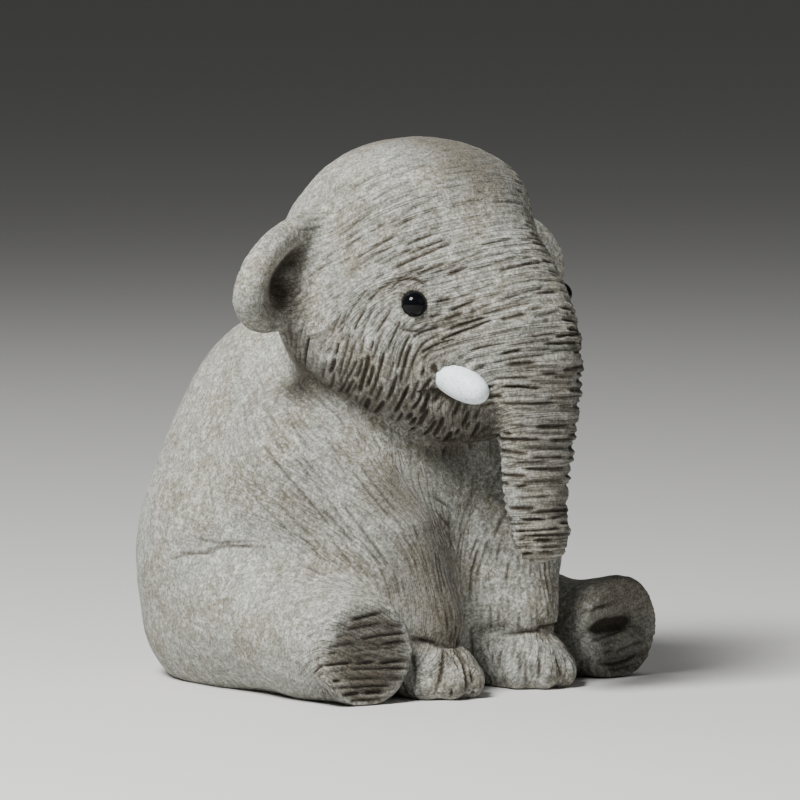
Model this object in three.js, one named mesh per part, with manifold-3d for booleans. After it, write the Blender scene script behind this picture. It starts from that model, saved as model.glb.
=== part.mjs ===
// A small seated elephant calf, hand-shaped in unglazed clay, with bead eyes and two short tusks.
// Millimetres, +Z up. The calf faces -Y and its left side is +X. It stands on Z = 0.
import * as THREE from "three";
import { mergeVertices } from "three/addons/utils/BufferGeometryUtils.js";
import { MarchingCubes } from "three/addons/objects/MarchingCubes.js";
import Module from "manifold-3d";

// Sizes
const figureHeight = 65;
const eyeBeadDiameter = 3.1;
const eyeBeadProud = 1.3; // how far a bead stands out of the face
const tuskDiameter = 4;
const tuskLength = 9;
const tuskShown = 3.8; // the rest of a tusk sits in its socket
const fitGap = 0.3; // clearance round a bead or tusk in its socket
const earRimThickness = 3.3;
const earWebThickness = 2.4;
const ringPitch = 2.3; // from one trunk wrinkle to the next
const ringDepth = 0.45;

// How finely the clay is worked
const gridPitch = 0.7;
const clayTriangles = 7800;

// The pose and proportions are written in sixty-fifths of the figure's height.
const part = figureHeight / 65;

// A point given by how far it lies to the calf's left, ahead of its seat and above the ground
function at(side, ahead, up) {
  return new THREE.Vector3(side, -ahead, up).multiplyScalar(part);
}

function facing(side, ahead, up) {
  return at(side, ahead, up).normalize();
}

// Masses of clay. Each is a function that gives a point's distance to the surface, negative inside.

function ball(centre, radius) {
  const r = radius * part;
  return (p) => p.distanceTo(centre) - r;
}

function egg(centre, side, ahead, up) {
  const [a, b, c] = [side * part, ahead * part, up * part];
  return (p) => {
    const [x, y, z] = [p.x - centre.x, p.y - centre.y, p.z - centre.z];
    const outward = Math.hypot(x / a, y / b, z / c);
    const slope = Math.hypot(x / (a * a), y / (b * b), z / (c * c));
    return slope < 1e-6 ? -Math.min(a, b, c) : (outward * (outward - 1)) / slope;
  };
}

// A limb that tapers evenly from one ball to another
function limb(start, startRadius, end, endRadius) {
  const [r1, r2] = [startRadius * part, endRadius * part];
  const axis = end.clone().sub(start);
  const length = axis.length();
  axis.normalize();
  const lean = (r1 - r2) / length;
  const grip = Math.sqrt(1 - lean * lean);
  return (p) => {
    const [x, y, z] = [p.x - start.x, p.y - start.y, p.z - start.z];
    const along = x * axis.x + y * axis.y + z * axis.z;
    const off = Math.sqrt(Math.max(0, x * x + y * y + z * z - along * along));
    const slid = along - (off * lean) / grip;
    if (slid < 0) return Math.hypot(off, along) - r1;
    if (slid > length) return Math.hypot(off, along - length) - r2;
    return off * grip + along * lean - r1;
  };
}

// A rope of clay along a smooth curve, its radius running through the given values
function rope(curve, radii, steps) {
  const joints = curve.getPoints(steps);
  const radiusAt = (t) => {
    const place = t * (radii.length - 1);
    const i = Math.min(Math.floor(place), radii.length - 2);
    return THREE.MathUtils.lerp(radii[i], radii[i + 1], place - i);
  };
  const pieces = [];
  for (let i = 0; i < steps; i += 1) {
    pieces.push(limb(joints[i], radiusAt(i / steps), joints[i + 1], radiusAt((i + 1) / steps)));
  }
  return (p) => pieces.reduce((least, piece) => Math.min(least, piece(p)), Infinity);
}

// A round cushion: a flat disc with a fat rounded edge
function cushion(centre, discRadius, thickness) {
  const [wide, thick] = [discRadius * part, thickness * part];
  return (p) => {
    const off = Math.hypot(p.x - centre.x, p.y - centre.y);
    return Math.hypot(Math.max(off - wide, 0), p.z - centre.z) - thick;
  };
}

// Joins two masses with the clay pressed smooth over the given width
function press(width, first, second) {
  const w = width * part;
  return (p) => {
    const [a, b] = [first(p), second(p)];
    const h = Math.max(w - Math.abs(a - b), 0) / w;
    return Math.min(a, b) - (h * h * w) / 4;
  };
}

// Takes the second mass out of the first, with the edge rounded over the given width
function scoop(width, first, second) {
  const left = press(width, (p) => -first(p), second);
  return (p) => -left(p);
}

const pressAll = (width, masses) => masses.reduce((sum, mass) => press(width, sum, mass));

// The same mass on both sides of the figure
function bothSides(mass) {
  const q = new THREE.Vector3();
  return (p) => mass(q.set(Math.abs(p.x), p.y, p.z));
}

// Clay taken off a mass near its surface, each cut giving its depth at a point
function carved(field, cuts) {
  return (p) => {
    const d = field(p);
    return Math.abs(d) > 2.5 * part ? d : cuts.reduce((sum, cut) => sum + cut(p), d);
  };
}

// A cut that is deepest on a line, which is given as a distance like a mass
function line(nearness, width, depth) {
  return (p) => depth * part * Math.exp(-((Math.max(0, nearness(p)) / (width * part)) ** 2));
}

// Torso
const belly = ball(at(0, 0, 14.2), 22.8);
const chest = egg(at(0, 0.4, 25.6), 17.2, 20, 19.7);
const seat = cushion(at(0, 0, 6.5), 13.6, 8);
const torso = press(2, press(4, belly, chest), seat);

// Head
const crown = egg(at(0, 15.3, 55.6), 13.3, 13.3, 8.8);
const brow = ball(at(0, 15.2, 49.4), 14.3);
const nape = ball(at(0, 13.2, 47.9), 15.7);
const jaws = bothSides(limb(at(7.5, 13.4, 43.2), 9.5, at(1, 21.9, 38.2), 9.3));
const cheeks = bothSides(ball(at(6.2, 18.8, 43.3), 10.2));
const muzzle = ball(at(0, 23.4, 39.8), 9.5);
const temples = bothSides(limb(at(14.6, 11.2, 51.6), 2.6, at(14.8, 10.6, 46.2), 2.8));
const skull = pressAll(3, [pressAll(1, [crown, brow, nape]), temples, jaws, cheeks, muzzle]);

// Trunk, with wrinkles that run round it and are deepest in front
const trunkLine = new THREE.CatmullRomCurve3([
  at(0, 27, 46), at(0, 32, 41.5), at(0, 34.3, 36.5), at(0, 34.7, 29.5), at(0, 34.5, 23), at(0, 35.3, 18.9),
]);
const trunk = rope(trunkLine, [8.6, 7, 5.6, 4.4, 3.8, 3.5], 14);
const ringSteps = 60;
const ringPath = trunkLine.getSpacedPoints(ringSteps);
const ringStep = trunkLine.getLength() / ringSteps;
function trunkWrinkles(p) {
  if (trunk(p) > 2 * part) return 0;
  let nearest = 0;
  let reach = Infinity;
  ringPath.forEach((point, i) => {
    const away = point.distanceToSquared(p);
    if (away < reach) [nearest, reach] = [i, away];
  });
  const point = ringPath[nearest];
  const tangent = trunkLine.getTangentAt(nearest / ringSteps);
  const along = nearest * ringStep + tangent.dot(new THREE.Vector3().subVectors(p, point));
  const front = THREE.MathUtils.smoothstep((point.y - p.y) / Math.sqrt(reach), -0.6, 0.8);
  const fade = THREE.MathUtils.smoothstep(along, 2 * part, 9 * part);
  const wave = 0.5 - 0.5 * Math.cos((2 * Math.PI * along) / ringPitch);
  return ringDepth * wave ** 3 * (0.25 + 0.75 * front) * fade;
}

// Head with its mouth line and the lids round the eyes
const eyeSpot = at(11.9, 26.4, 45.8);
const lipLine = new THREE.CatmullRomCurve3([at(9.6, 24, 36.6), at(8.2, 27.6, 34.6), at(4, 30.5, 33)]);
const lip = bothSides(rope(lipLine, [0, 0], 5));
function lids(p) {
  const away = Math.hypot(Math.abs(p.x) - eyeSpot.x, p.y - eyeSpot.y, p.z - eyeSpot.z) / part;
  const hump = (middle, width) => Math.exp(-(((away - middle) / width) ** 2));
  return part * (0.3 * hump(3.6, 0.5) - 0.4 * hump(2.3, 0.7));
}
const smoothHead = press(4, skull, trunk);
const head = carved(smoothHead, [trunkWrinkles, lids, line(lip, 0.8, 0.9)]);

// Ears
const rim = earRimThickness / 2 / part;
const earEdge = new THREE.CatmullRomCurve3([
  at(13, 12.2, 55), at(18, 12.6, 54), at(22, 12.9, 51.9), at(24.4, 13, 49.4),
  at(25, 12.4, 46.7), at(23.3, 11.4, 44.4), at(18.8, 10.2, 43.6), at(12, 9.6, 44.8),
]);
const earRim = bothSides(rope(earEdge, [rim * 0.9, rim, rim * 1.1, rim * 1.1, rim, rim * 0.9], 16));
const web = earWebThickness / 2 / part;
const earCup = new THREE.CatmullRomCurve3([
  at(14.5, 10.4, 52.8), at(18.8, 11, 51.5), at(21.5, 11.1, 49.2), at(21.8, 10.6, 47), at(17.5, 9.6, 45.4),
]);
const earFloor = egg(at(16.5, 9.6, 49.2), 5.4, web, 4.8);
const earWeb = bothSides(press(1.5, rope(earCup, [web, web * 1.2, web], 12), earFloor));
const ears = press(1.6, earRim, earWeb);

// Forelegs, with a crease above the foot and four toes
const pawCentre = at(7.7, 25.3, 2.6);
const paw = egg(pawCentre, 5.3, 5.6, 4.2);
const toes = [-60, -21, 20, 60].map((degrees) => {
  const angle = THREE.MathUtils.degToRad(degrees);
  return ball(pawCentre.clone().add(at(4.2 * Math.sin(angle), 4.8 * Math.cos(angle), -0.8)), 1.9);
});
function ankle(p) {
  const beyond = Math.hypot(p.x - pawCentre.x, p.y - pawCentre.y) - 9 * part;
  return Math.hypot(p.z - 6.4 * part, Math.max(0, beyond));
}
const foreleg = pressAll(2.5, [
  limb(at(12.6, 9.5, 26), 8.8, at(10.2, 19.3, 17), 6.5),
  limb(at(10.2, 19.3, 17), 6.5, at(7.9, 22.8, 8.5), 5.6),
  paw,
]);
const forelegs = bothSides(press(0.7, carved(foreleg, [line(ankle, 0.8, 0.6)]), pressAll(0.4, toes)));

// Hind legs, each pared off flat at the sole
function hindLeg({ hip, shin, shinWidth, sole, turned, marks }) {
  const leg = press(3, limb(hip, 10.8, shin, shinWidth / 2), limb(shin, shinWidth / 2, sole, 6.3));
  const angle = THREE.MathUtils.degToRad(turned);
  const out = new THREE.Vector3(Math.sin(angle), -Math.cos(angle), 0);
  const beyond = (p) => -((p.x - sole.x) * out.x + (p.y - sole.y) * out.y);
  const pared = scoop(0.9, leg, beyond);
  return carved(pared, [(p) => (Math.abs(beyond(p)) < 1.2 * part ? marks(p, sole) : 0)]);
}
const soleFolds = (p, sole) => {
  const off = Math.hypot(p.x - sole.x, p.z - sole.z) / part;
  const wave = 0.5 - 0.5 * Math.cos((2 * Math.PI * (p.z - sole.z)) / (1.9 * part) + 0.25 * (p.x - sole.x));
  return 0.5 * part * wave ** 2 * THREE.MathUtils.smoothstep(5.6 - off, 0, 1.2);
};
const soleHollow = (p, sole) => {
  const [x, z] = [(p.x - sole.x) / part, (p.z - sole.z) / part];
  const slit = Math.exp(-(((z - 0.5 - 0.12 * x) / 1.1) ** 2) - (x / 3.6) ** 4);
  const heel = Math.exp(-(((z + 3.6 - 0.15 * x) / 0.5) ** 2) - (x / 4) ** 4);
  return part * (1.5 * slit + 0.4 * heel);
};
const rightHindLeg = hindLeg({
  hip: at(-13.5, 4, 9.5), shin: at(-18, 17.5, 6.9), shinWidth: 13.8, sole: at(-20.3, 27.5, 6), turned: -12,
  marks: soleFolds,
});
const leftHindLeg = hindLeg({
  hip: at(13.5, 4, 9.5), shin: at(20, 18, 5), shinWidth: 10.6, sole: at(21.4, 28.1, 6), turned: -1,
  marks: soleHollow,
});

// The fold where each thigh lies against the belly
const thighLine = new THREE.CatmullRomCurve3([at(22, -3, 16.3), at(22.3, 3, 16.8), at(21, 10.5, 15.6)]);
const thighFold = bothSides(rope(thighLine, [0, 0], 6));

// The head rests on the shoulders with a crease all round under the jaw.
const body = carved(pressAll(2, [press(4.5, torso, forelegs), rightHindLeg, leftHindLeg]), [
  line(thighFold, 0.9, 0.7),
]);
const jawCrease = line((p) => Math.abs(body(p) - head(p)), 2, 0.5);
const figureField = press(1.2, carved(press(2.4, body, head), [jawCrease]), ears);
const clay = (p) => Math.max(figureField(p), -2 * part - p.z);

// The surface of a mass as a fine even mesh. Cells far from the surface are filled in at one go.
function surfaceOf(field) {
  const half = 35.5 * part;
  const middle = at(0, 8, 31);
  const size = Math.ceil((2 * half) / gridPitch) + 3;
  const cubes = new MarchingCubes(size, new THREE.MeshBasicMaterial(), false, false, 130000);
  cubes.isolation = 0;
  const place = (i) => ((i - size / 2) / (size / 2)) * half;
  const least = 0.12 * gridPitch; // keeps slivers out where the surface grazes a grid point
  const block = 5;
  const clear = 1.2 * block * ((2 * half) / size);
  const p = new THREE.Vector3();
  const blocks = Math.ceil(size / block);
  for (let n = 0; n < blocks ** 3; n += 1) {
    const cell = [n % blocks, Math.floor(n / blocks) % blocks, Math.floor(n / blocks ** 2)];
    const first = cell.map((i) => i * block);
    p.fromArray(first.map((i) => place(i + (block - 1) / 2)));
    const here = field(p.add(middle));
    const last = first.map((i) => Math.min(i + block, size));
    for (let k = first[2]; k < last[2]; k += 1) {
      for (let j = first[1]; j < last[1]; j += 1) {
        for (let i = first[0]; i < last[0]; i += 1) {
          const near = Math.abs(here) < clear;
          const value = near ? field(p.set(place(i), place(j), place(k)).add(middle)) : here;
          const kept = -Math.sign(value) * Math.max(Math.abs(value), least);
          cubes.field[i + j * size + k * size * size] = kept;
        }
      }
    }
  }
  cubes.update();
  const soup = new THREE.BufferGeometry();
  const corners = cubes.positionArray.slice(0, cubes.count * 3);
  soup.setAttribute("position", new THREE.BufferAttribute(corners, 3));
  soup.scale(half, half, half);
  soup.translate(middle.x, middle.y, middle.z);
  return mergeVertices(soup, 1e-4);
}

// Thins a closed mesh to the wanted number of triangles. Edges are merged one at a time, first those
// whose merging moves the surface least, measured by the planes of the triangles around them.
function thinned(geometry, wanted) {
  const place = Float64Array.from(geometry.attributes.position.array);
  const faces = [];
  const facesOf = Array.from({ length: place.length / 3 }, () => []);
  const index = geometry.index.array;
  for (let i = 0; i < index.length; i += 3) {
    const face = [index[i], index[i + 1], index[i + 2]];
    if (face[0] === face[1] || face[1] === face[2] || face[2] === face[0]) continue;
    face.forEach((v) => facesOf[v].push(faces.length));
    faces.push(face);
  }
  let count = faces.length;
  const get = (v) => new THREE.Vector3().fromArray(place, v * 3);
  const crossOf = (a, b, c) => {
    const [ux, uy, uz] = [place[b * 3] - a.x, place[b * 3 + 1] - a.y, place[b * 3 + 2] - a.z];
    const [vx, vy, vz] = [place[c * 3] - a.x, place[c * 3 + 1] - a.y, place[c * 3 + 2] - a.z];
    return [uy * vz - uz * vy, uz * vx - ux * vz, ux * vy - uy * vx];
  };

  // Sum of squared distances to planes, kept as the ten terms of a quadratic
  const planes = facesOf.map(() => new Float64Array(10));
  faces.forEach((face) => {
    const corner = get(face[0]);
    const [nx, ny, nz] = crossOf(corner, face[1], face[2]);
    const area = Math.hypot(nx, ny, nz) || 1e-12;
    const [a, b, c] = [nx / area, ny / area, nz / area];
    const d = -(a * corner.x + b * corner.y + c * corner.z);
    const terms = [a * a, a * b, a * c, a * d, b * b, b * c, b * d, c * c, c * d, d * d];
    face.forEach((v) => {
      planes[v] = planes[v].map((sum, i) => sum + terms[i] * area);
    });
  });
  const errorAt = (q, { x, y, z }) => q[0] * x * x + q[4] * y * y + q[7] * z * z + q[9]
    + 2 * (q[1] * x * y + q[2] * x * z + q[5] * y * z + q[3] * x + q[6] * y + q[8] * z);

  function merging(u, v) {
    const q = planes[u].map((term, i) => term + planes[v][i]);
    const [a, b] = [get(u), get(v)];
    const middle = a.clone().add(b).multiplyScalar(0.5);
    const solve = new THREE.Matrix3().set(q[0], q[1], q[2], q[1], q[4], q[5], q[2], q[5], q[7]);
    const size = q[0] + q[4] + q[7];
    let best = middle;
    if (Math.abs(solve.determinant()) > 1e-4 * size ** 3) {
      const flat = new THREE.Vector3(-q[3], -q[6], -q[8]).applyMatrix3(solve.invert());
      if (flat.distanceTo(middle) < 0.6 * a.distanceTo(b)) best = flat;
    }
    const cost = Math.abs(errorAt(q, best)) + 2e-5 * a.distanceToSquared(b);
    return { u, v, q, best, cost, stamp: stamps[u] + stamps[v] };
  }

  // A heap that hands out the cheapest merging first
  const heap = [];
  const stamps = new Int32Array(facesOf.length);
  function push(item) {
    let i = heap.push(item) - 1;
    while (i > 0) {
      const up = (i - 1) >> 1;
      if (heap[up].cost <= item.cost) break;
      heap[i] = heap[up];
      i = up;
    }
    heap[i] = item;
  }
  function pop() {
    const top = heap[0];
    const item = heap.pop();
    let i = 0;
    while (heap.length > 0) {
      let next = 2 * i + 1;
      if (next >= heap.length) break;
      if (next + 1 < heap.length && heap[next + 1].cost < heap[next].cost) next += 1;
      if (heap[next].cost >= item.cost) break;
      heap[i] = heap[next];
      i = next;
    }
    if (heap.length > 0) heap[i] = item;
    return top;
  }
  const around = (v) => new Set(facesOf[v].flatMap((f) => faces[f]).filter((w) => w !== v));
  const pushAround = (v, onlyLarger) => around(v).forEach((w) => {
    if (!onlyLarger || w > v) push(merging(v, w));
  });

  // A merging is safe where the mesh stays closed and no triangle turns over
  function lean(vertices) {
    const sum = new THREE.Vector3();
    const side = new THREE.Vector3();
    vertices.forEach((v) => facesOf[v].forEach((f) => {
      const [a, b, c] = faces[f];
      sum.add(side.fromArray(crossOf(get(a), b, c)));
    }));
    return sum.normalize();
  }
  function turnsOver(v, other, to, outward) {
    return facesOf[v].some((f) => {
      const face = faces[f];
      if (face.includes(other)) return false;
      const i = face.indexOf(v);
      const [b, c] = [face[(i + 1) % 3], face[(i + 2) % 3]];
      const [from, right, left] = [get(v), get(b), get(c)];
      const [before, after] = [crossOf(from, b, c), crossOf(to, b, c)];
      const dot = before[0] * after[0] + before[1] * after[1] + before[2] * after[2];
      const [sizeBefore, sizeAfter] = [Math.hypot(...before), Math.hypot(...after)];
      const base = right.distanceToSquared(left);
      const longest = (tip) => Math.max(base, tip.distanceToSquared(right), tip.distanceToSquared(left));
      const [shapeBefore, shapeAfter] = [sizeBefore / longest(from), sizeAfter / longest(to)];
      const faced = after[0] * outward.x + after[1] * outward.y + after[2] * outward.z;
      const sliver = shapeBefore < 0.1;
      const turned = sliver ? faced <= 0.5 * sizeAfter : dot <= 0.5 * sizeBefore * sizeAfter;
      return turned || (shapeAfter < 0.15 && shapeAfter < shapeBefore);
    });
  }
  let before = Infinity;
  while (count > wanted) {
    if (heap.length === 0) {
      if (count === before) break;
      before = count;
      facesOf.forEach((own, v) => pushAround(v, true));
    }
    const { u, v, q, best, stamp } = pop();
    if (stamp !== stamps[u] + stamps[v] || !facesOf[u].length || !facesOf[v].length) continue;
    const near = around(v);
    const shared = [...around(u)].filter((w) => near.has(w));
    const outward = lean([u, v]);
    if (shared.length !== 2 || turnsOver(u, v, best, outward) || turnsOver(v, u, best, outward)) continue;
    best.toArray(place, u * 3);
    planes[u] = q;
    facesOf[v].forEach((f) => {
      if (faces[f].includes(u)) {
        faces[f].filter((w) => w !== v).forEach((w) => {
          facesOf[w] = facesOf[w].filter((g) => g !== f);
        });
        faces[f] = null;
        count -= 1;
      } else {
        faces[f][faces[f].indexOf(v)] = u;
        facesOf[u].push(f);
      }
    });
    facesOf[v] = [];
    stamps[u] += 1;
    pushAround(u, false);
  }
  const thin = new THREE.BufferGeometry();
  thin.setAttribute("position", new THREE.BufferAttribute(Float32Array.from(place), 3));
  thin.setIndex(faces.filter(Boolean).flat());
  return mergeVertices(thin.toNonIndexed(), 1e-5);
}

// Solids for cutting and joining
const wasm = await Module();
wasm.setup();

function toSolid(geometry) {
  const bare = geometry.clone();
  bare.deleteAttribute("normal");
  bare.deleteAttribute("uv");
  const merged = mergeVertices(bare, 1e-4);
  const triVerts = [];
  for (let i = 0; i < merged.index.count; i += 3) {
    const [a, b, c] = [0, 1, 2].map((k) => merged.index.getX(i + k));
    if (a !== b && b !== c && c !== a) triVerts.push(a, b, c);
  }
  const vertProperties = Float32Array.from(merged.attributes.position.array);
  const mesh = new wasm.Mesh({ numProp: 3, vertProperties, triVerts: Uint32Array.from(triVerts) });
  return new wasm.Manifold(mesh);
}

function toGeometry(solid) {
  const mesh = solid.getMesh();
  const geometry = new THREE.BufferGeometry();
  geometry.setAttribute("position", new THREE.BufferAttribute(Float32Array.from(mesh.vertProperties), 3));
  geometry.setIndex(Array.from(mesh.triVerts));
  return geometry;
}

// The mirror image of a shape, its triangles turned round so that they still face out
function mirrorImage(geometry) {
  const image = geometry.clone().scale(-1, 1, 1);
  const corners = Array.from(image.index.array);
  for (let i = 0; i < corners.length; i += 3) {
    [corners[i], corners[i + 1]] = [corners[i + 1], corners[i]];
  }
  image.setIndex(corners);
  return image;
}

// The spot where a line that comes in from outside meets the clay
function touch(target, outward) {
  const p = target.clone().addScaledVector(outward, 6 * part);
  for (let i = 0; i < 40; i += 1) p.addScaledVector(outward, -0.8 * clay(p));
  return p;
}

// Eye beads, each sunk in the face so that it stands out by eyeBeadProud
const beadRadius = eyeBeadDiameter / 2;
const eyeLook = facing(0.66, 0.75, 0.02);
const eyeCentre = touch(eyeSpot, eyeLook).addScaledVector(eyeLook, eyeBeadProud - beadRadius);
function beadShape(radius, segments) {
  return new THREE.SphereGeometry(radius, segments, segments / 2).rotateX(Math.PI / 2);
}

// Tusks, blunt at both ends, set in the corners of the mouth
const tuskLook = facing(0, 0.93, -0.33);
const tuskRoot = touch(at(7.5, 27, 37.6), tuskLook);
const tuskCentre = tuskRoot.clone().addScaledVector(tuskLook, tuskShown - tuskLength / 2);
function tuskShape(extra) {
  const rows = 10;
  const profile = [];
  for (let i = 0; i <= rows; i += 1) {
    const angle = (Math.PI * i) / rows;
    const width = Math.sin(angle) ** 0.75 * (tuskDiameter / 2 + extra);
    profile.push(new THREE.Vector2(i % rows ? width : 0, -Math.cos(angle) * (tuskLength / 2 + extra)));
  }
  const lean = new THREE.Quaternion().setFromUnitVectors(new THREE.Vector3(0, 1, 0), tuskLook);
  return new THREE.LatheGeometry(profile, 14).applyQuaternion(lean);
}

// The body, its underside cut level, with sockets for beads and tusks
const ground = new THREE.BoxGeometry(3 * figureHeight, 3 * figureHeight, figureHeight);
ground.translate(0, 0, -figureHeight / 2);
const sockets = [1, -1].flatMap((side) => {
  const eyeHole = beadShape(beadRadius + fitGap, 16);
  eyeHole.translate(side * eyeCentre.x, eyeCentre.y, eyeCentre.z);
  const tuskHole = tuskShape(fitGap);
  tuskHole.translate(tuskCentre.x, tuskCentre.y, tuskCentre.z);
  return [eyeHole, side > 0 ? tuskHole : mirrorImage(tuskHole)];
});

let bodySolid = toSolid(thinned(surfaceOf(clay), clayTriangles));
[ground, ...sockets].forEach((shape) => {
  bodySolid = bodySolid.subtract(toSolid(shape));
});

// Finishes
const firedClay = { color: 0x8f8577, roughness: 0.88, metalness: 0 };
const blackGloss = { color: 0x060606, roughness: 0.08, metalness: 0 };
const whiteEnamel = { color: 0xe9ecec, roughness: 0.45, metalness: 0 };

const figure = new THREE.Group();
function addPiece(name, geometry, finish) {
  geometry.computeVertexNormals();
  const mesh = new THREE.Mesh(geometry, new THREE.MeshStandardMaterial(finish));
  mesh.name = name;
  figure.add(mesh);
  return mesh;
}

addPiece("clay_body", toGeometry(bodySolid), firedClay);
[["left", 1], ["right", -1]].forEach(([name, side]) => {
  const bead = addPiece(`${name}_eye_bead`, beadShape(beadRadius, 16), blackGloss);
  bead.position.set(side * eyeCentre.x, eyeCentre.y, eyeCentre.z);
  const tuskSolid = toSolid(side > 0 ? tuskShape(0) : mirrorImage(tuskShape(0)));
  const tusk = addPiece(`${name}_tusk`, toGeometry(tuskSolid), whiteEnamel);
  tusk.position.set(side * tuskCentre.x, tuskCentre.y, tuskCentre.z);
});

// The origin is under the middle of the figure.
const reach = new THREE.Box3().setFromObject(figure);
figure.position.set(-(reach.min.x + reach.max.x) / 2, -(reach.min.y + reach.max.y) / 2, -reach.min.z);

export default figure;
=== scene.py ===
import math
import bpy
import numpy as np
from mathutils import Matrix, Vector
from mathutils.bvhtree import BVHTree
from mathutils.kdtree import KDTree


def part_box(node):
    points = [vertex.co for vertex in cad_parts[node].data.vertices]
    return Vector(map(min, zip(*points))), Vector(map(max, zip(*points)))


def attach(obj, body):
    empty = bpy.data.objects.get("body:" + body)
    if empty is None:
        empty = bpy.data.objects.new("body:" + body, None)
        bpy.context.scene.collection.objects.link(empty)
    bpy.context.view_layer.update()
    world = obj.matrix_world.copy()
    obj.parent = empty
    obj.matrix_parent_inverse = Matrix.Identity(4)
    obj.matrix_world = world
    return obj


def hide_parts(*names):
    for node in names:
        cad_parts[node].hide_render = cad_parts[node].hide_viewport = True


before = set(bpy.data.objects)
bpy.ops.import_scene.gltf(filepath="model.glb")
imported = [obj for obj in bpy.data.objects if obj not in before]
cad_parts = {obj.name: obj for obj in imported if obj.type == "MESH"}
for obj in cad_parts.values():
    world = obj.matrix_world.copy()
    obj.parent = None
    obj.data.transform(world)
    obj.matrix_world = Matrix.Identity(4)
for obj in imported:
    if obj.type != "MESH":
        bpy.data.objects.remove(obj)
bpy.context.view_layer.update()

mm = 0.001
tiny = 1e-6

# Where the calf's own middle lies in the row frame, in millimetres
calfMiddle = {"side": -0.497, "ahead": 8.532}


def spot(side, ahead, up):
    # A place on the calf, given in millimetres to its left, ahead of its seat and up
    return Vector((side + calfMiddle["side"], calfMiddle["ahead"] - ahead, up)) * mm


def way(side, ahead, up):
    return Vector((side, -ahead, up)).normalized()


def facing(azimuth, elevation):
    # The way towards a camera or light, in degrees round from straight ahead and up
    turn, lift = math.radians(azimuth), math.radians(elevation)
    return Vector((math.sin(turn) * math.cos(lift), -math.cos(turn) * math.cos(lift), math.sin(lift)))


def choose(piece):
    bpy.ops.object.select_all(action="DESELECT")
    piece.select_set(True)
    bpy.context.view_layer.objects.active = piece


def applyModifier(piece, kind, **settings):
    choose(piece)
    modifier = piece.modifiers.new(kind.lower(), kind)
    for name, value in settings.items():
        setattr(modifier, name, value)
    bpy.ops.object.modifier_apply(modifier=modifier.name)


def settle(piece):
    # The finished piece's place goes into its mesh
    choose(piece)
    bpy.ops.object.transform_apply(location=True, rotation=True, scale=True)


def pointsOf(mesh):
    flat = np.empty(len(mesh.vertices) * 3)
    mesh.vertices.foreach_get("co", flat)
    return flat.reshape(-1, 3)


def normalsOf(mesh):
    flat = np.empty(len(mesh.vertices) * 3, np.float32)
    mesh.vertex_normals.foreach_get("vector", flat)
    return flat.reshape(-1, 3).astype(float)


def movePoints(mesh, points):
    mesh.vertices.foreach_set("co", points.ravel())
    mesh.update()


def rowsOf(vectors):
    return np.array([tuple(v) for v in vectors], float)


# The camera

cameraView = {
    "azimuth": -45,
    "elevation": 4.4,
    "distance": 0.9,
    "width": 0.0941,    # of the picture at the aim, in metres
    "aim": (0, 12.34, 33.3),
    "clip": (0.05, 20),
}


def addCamera(view):
    back = facing(view["azimuth"], view["elevation"])
    bpy.ops.object.camera_add(location=spot(*view["aim"]) + back * view["distance"])
    camera = bpy.context.object
    camera.name = "photoCamera"
    camera.rotation_euler = back.to_track_quat("Z", "Y").to_euler()
    camera.data.angle = 2 * math.atan(view["width"] / 2 / view["distance"])
    camera.data.clip_start, camera.data.clip_end = view["clip"]
    bpy.context.scene.camera = camera


addCamera(cameraView)
print("camera placed")

# The eyes

eyeBead = {
    "segments": 48,
    "rings": 32,
    "holeWidth": 0.45,      # as shares of the bead's radius
    "holeDepth": 0.6,
    "look": (0.86, 0.5, 0.05),
}


def addBead(which, turned):
    # A glass bead, with its thread hole turned into the clay
    low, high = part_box(f"{which}_eye_bead")
    radius = (high.x - low.x) / 2
    bpy.ops.object.select_all(action="DESELECT")
    bpy.ops.mesh.primitive_uv_sphere_add(
        segments=eyeBead["segments"], ring_count=eyeBead["rings"], radius=radius, location=(0, 0, 0))
    bead = bpy.context.object
    bead.name = bead.data.name = f"bead_{which}"
    bpy.ops.object.mode_set(mode="EDIT")
    bpy.ops.mesh.select_mode(type="FACE")
    bpy.ops.mesh.select_all(action="DESELECT")
    bpy.ops.object.mode_set(mode="OBJECT")
    holeRadius = radius * eyeBead["holeWidth"] / 2
    for face in bead.data.polygons:
        face.select = face.center.z < 0 and math.hypot(face.center.x, face.center.y) < holeRadius
    bpy.ops.object.mode_set(mode="EDIT")
    inward = (0, 0, radius * eyeBead["holeDepth"])
    bpy.ops.mesh.extrude_region_move(TRANSFORM_OT_translate={"value": inward})
    bpy.ops.object.mode_set(mode="OBJECT")
    side, ahead, up = eyeBead["look"]
    bead.rotation_euler = way(side * turned, ahead, up).to_track_quat("Z", "Y").to_euler()
    bead.location = (low + high) / 2
    settle(bead)
    bpy.ops.object.shade_smooth()
    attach(bead, "root")
    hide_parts(f"{which}_eye_bead")
    return bead


beads = [addBead("left", 1), addBead("right", -1)]

# The tusks

tuskShape = {
    "segments": 48,
    "rings": 32,
    "length": 9 * mm,
    "width": 4 * mm,
    "bluntness": 0.75,      # under 1 fills out the ends
    "look": (0, 0.93, -0.33),
}


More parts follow.
